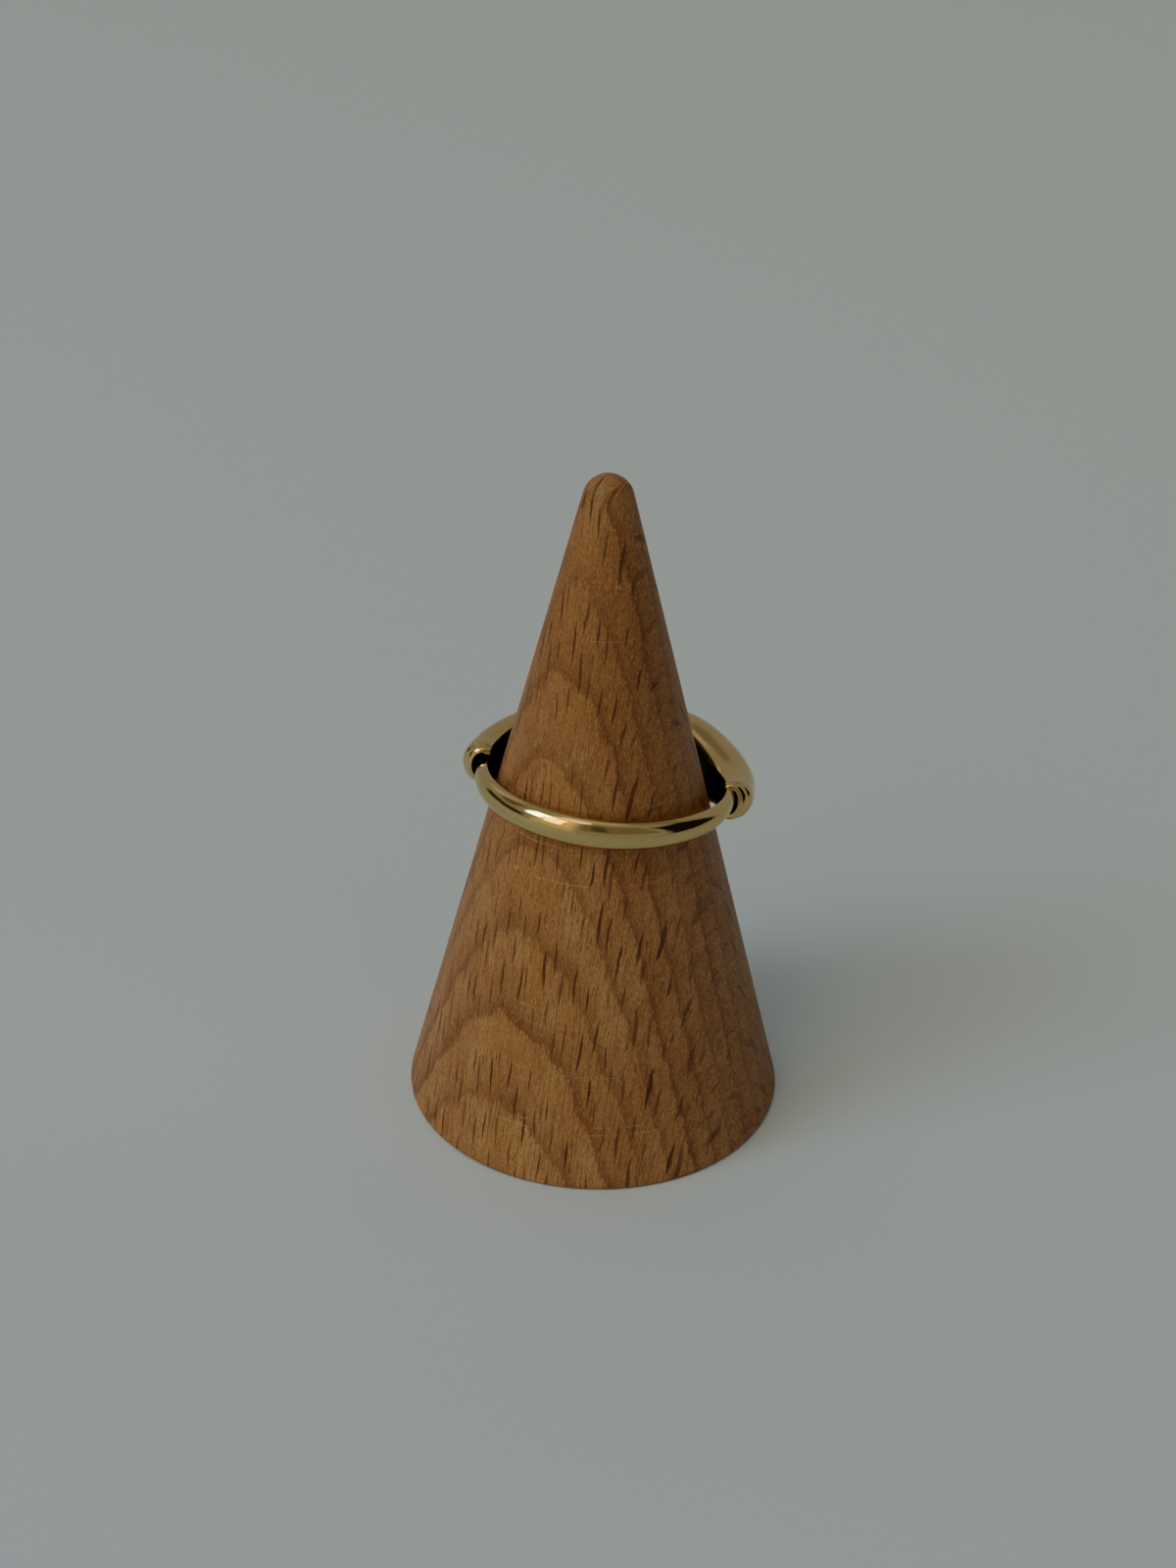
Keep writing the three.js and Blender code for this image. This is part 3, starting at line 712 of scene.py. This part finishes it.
def floor_material():
    """Matt pale grey board, with a faint grain. Towards the front it is painted a little bluer, as painted
    light from the window's cool daylight.
    """
    material, tree = new_material("pale_board")
    place = add(tree, "ShaderNodeTexCoord").outputs["Object"]
    axes = add(tree, "ShaderNodeSeparateXYZ", {0: place})
    painted_daylight_share = add(tree, "ShaderNodeMapRange", {0: axes.outputs[1], 1: BOARD_BLUE_TO, 2: BOARD_PLAIN_FROM})
    colour = add(tree, "ShaderNodeMix", {0: painted_daylight_share, 6: linear(BOARD_FRONT_PAINTED_DAYLIGHT), 7: linear(BOARD_BACK)},
                 data_type="RGBA")
    grain = add(tree, "ShaderNodeTexNoise", {"Vector": place, "Scale": BOARD_GRAIN_PER_MM / MM,
                                             "Detail": 2.0})
    tone = add(tree, "ShaderNodeMapRange", {0: grain, 1: 0.35, 2: 0.65, 3: 0.0, 4: 0.12})
    colour = add(tree, "ShaderNodeMix", {0: tone, 6: colour.outputs[2], 7: linear(BOARD_FIBRE)},
                 data_type="RGBA")
    surface = add(tree, "ShaderNodeBsdfPrincipled", {"Base Color": colour.outputs[2], "Roughness": 0.65,
                                                     "Specular IOR Level": 0.1})
    add(tree, "ShaderNodeOutputMaterial", {"Surface": surface})
    return material


floor_mesh = bpy.data.meshes.new("floor")
floor_mesh.from_pydata([(-FLOOR_HALF, -FLOOR_HALF, 0), (FLOOR_HALF, -FLOOR_HALF, 0),
                        (FLOOR_HALF, FLOOR_HALF, 0), (-FLOOR_HALF, FLOOR_HALF, 0)], [], [(0, 1, 2, 3)])
floor = place_object("floor", floor_mesh)
floor.data.materials.append(floor_material())

# Light
# The main light is one wide window on the left. The room round it is dim, and the gold mirrors it.
# Azimuth 0 is the camera's side and 90 its right, in degrees as the elevations are.

LIGHT_AIM_HEIGHT = 0.02
WALLS = (0.3, 0.3, 0.283, 1.0)
BACKDROP = (0.3, 0.325, 0.3, 1.0)


def area_light(name, azimuth, elevation, distance, size, power, colour, mirrored_only=False):
    """A rectangular light aimed at the middle of the object."""
    lamp = bpy.data.lights.new(name, "AREA")
    lamp.shape = "RECTANGLE"
    lamp.size, lamp.size_y = size
    lamp.energy = power
    lamp.color = linear(colour)[:3]
    made = place_object(name, lamp)
    a, e = math.radians(azimuth), math.radians(elevation)
    toward = Vector((math.sin(a) * math.cos(e), -math.cos(a) * math.cos(e), math.sin(e)))
    made.location = Vector((0, 0, LIGHT_AIM_HEIGHT)) + toward * distance
    made.rotation_euler = toward.to_track_quat("Z", "Y").to_euler()
    made.visible_diffuse = not mirrored_only


area_light("window", -68, 40, 0.8, (0.28, 0.37), 1.14, "#E4F2FF")
area_light("window_in_the_gold", -69, 40, 0.8, (0.19, 0.34), 3.4, "#E0FF94", mirrored_only=True)
area_light("curtain_in_the_gold", -46, 36, 0.82, (0.22, 0.42), 1.7, "#FFD430", mirrored_only=True)

# Each is from one azimuth to another, from one elevation to another, how bright, and how soft its edge
ROOM_PATCHES = (
    # The pale ceiling, and its bright part over the window
    ((-180, 180), (72, 108), (0.5, 0.48, 0.43), 8),
    ((-66, -10), (56, 76), (2.0, 1.7, 1.0), 7),
    # The lit curtain beside the window
    ((-60, -26), (12, 58), (1.0, 0.75, 0.32), 5),
    # The wall behind the object, paler on the left and dimmer on the right
    ((-150, -128), (26, 48), (0.5, 0.5, 0.42), 6),
    ((112, 168), (42, 74), (0.2, 0.2, 0.17), 8),
    # The sill under the curtain
    ((-64, -26), (-2, 14), (0.65, 0.58, 0.35), 4),
    # The dark behind the camera
    ((-20, 52), (14, 58), (0.2, 0.19, 0.13), 4),
    ((-8, 6), (20, 48), (0.09, 0.09, 0.07), 3),
    # Dark furniture on the left and on the right
    ((-122, -74), (0, 14), (0.04, 0.035, 0.02), 3),
    ((-116, -94), (24, 48), (0.14, 0.12, 0.08), 5),
    ((60, 112), (-6, 48), (0.01, 0.01, 0.01), 5),
)


def lay_patch(tree, shade, direction, azimuths, elevations, level, soft):
    """Lays one brighter or darker patch over the shade of the room so far."""
    middle, half = math.radians(sum(azimuths) / 2), math.radians((azimuths[1] - azimuths[0]) / 2)
    height, reach = math.radians(sum(elevations) / 2), math.radians((elevations[1] - elevations[0]) / 2)
    edge = math.radians(soft)
    turned = add(tree, "ShaderNodeVectorRotate", {"Vector": direction, "Angle": -middle},
                 rotation_type="Z_AXIS")
    axes = add(tree, "ShaderNodeSeparateXYZ", {0: turned})
    toward = add(tree, "ShaderNodeMath", {0: axes.outputs[1], 1: -1.0}, operation="MULTIPLY")
    around = add(tree, "ShaderNodeMath", {0: axes.outputs[0], 1: toward}, operation="ARCTAN2")
    off_side = add(tree, "ShaderNodeMath", {0: around}, operation="ABSOLUTE")
    across = add(tree, "ShaderNodeMapRange", {0: off_side, 1: half - edge, 2: half + edge, 3: 1.0, 4: 0.0},
                 interpolation_type="SMOOTHSTEP")
    raised = add(tree, "ShaderNodeMath", {0: axes.outputs[2]}, operation="ARCSINE")
    above = add(tree, "ShaderNodeMath", {0: raised, 1: height}, operation="SUBTRACT")
    off_height = add(tree, "ShaderNodeMath", {0: above}, operation="ABSOLUTE")
    up_down = add(tree, "ShaderNodeMapRange", {0: off_height, 1: reach - edge, 2: reach + edge,
                                               3: 1.0, 4: 0.0}, interpolation_type="SMOOTHSTEP")
    share = add(tree, "ShaderNodeMath", {0: across, 1: up_down}, operation="MULTIPLY")
    laid = add(tree, "ShaderNodeMix", {0: share, 6: shade, 7: level + (1.0,)}, data_type="RGBA")
    return laid.outputs[2]


world = bpy.data.worlds.new("room")
bpy.context.scene.world = world
world.use_nodes = True
room = world.node_tree
room.nodes.clear()
looked_along = add(room, "ShaderNodeTexCoord").outputs["Generated"]
shade = WALLS
for azimuths, elevations, level, soft in ROOM_PATCHES:
    shade = lay_patch(room, shade, looked_along, azimuths, elevations, level, soft)
# Behind the object there is only a plain pale backdrop
seen = add(room, "ShaderNodeLightPath").outputs["Is Camera Ray"]
backdrop = add(room, "ShaderNodeMix", {0: seen, 6: shade, 7: BACKDROP}, data_type="RGBA")
sky = add(room, "ShaderNodeBackground", {"Color": backdrop.outputs[2], "Strength": 1.0})
add(room, "ShaderNodeOutputWorld", {"Surface": sky})

# Camera
# It looks down at the stand from the front, as the photograph does. The lens and the middle of the
# picture are in pixels of the photograph's frame, and the distances are in metres.

LENS_PIXELS = 3000
SENSOR_WIDTH = 36
IMAGE_WIDTH = 1200
IMAGE_HEIGHT = 1600
MIDDLE_X = 613.76
MIDDLE_Y = 776.7
CAMERA_PITCH = math.radians(30.75)
CAMERA_ROLL = math.radians(1.535)
CAMERA_DISTANCE = 0.2111
AIM_HEIGHT = 0.028
NEAREST = 0.01

lens = bpy.data.cameras.new("camera")
lens.sensor_width = SENSOR_WIDTH
lens.lens = LENS_PIXELS / IMAGE_HEIGHT * SENSOR_WIDTH
lens.shift_x = (IMAGE_WIDTH / 2 - MIDDLE_X) / IMAGE_HEIGHT
lens.shift_y = (MIDDLE_Y - IMAGE_HEIGHT / 2) / IMAGE_HEIGHT
lens.clip_start = NEAREST
camera = place_object("camera", lens)
forward = Vector((0, math.cos(CAMERA_PITCH), -math.sin(CAMERA_PITCH)))
level = Vector((1, 0, 0))
upward = level.cross(forward)
right = level * math.cos(CAMERA_ROLL) + upward * math.sin(CAMERA_ROLL)
up = upward * math.cos(CAMERA_ROLL) - level * math.sin(CAMERA_ROLL)
placed = Matrix((right, up, -forward)).transposed().to_4x4()
placed.translation = Vector((0, 0, AIM_HEIGHT)) - forward * CAMERA_DISTANCE
camera.matrix_world = placed
bpy.context.scene.camera = camera
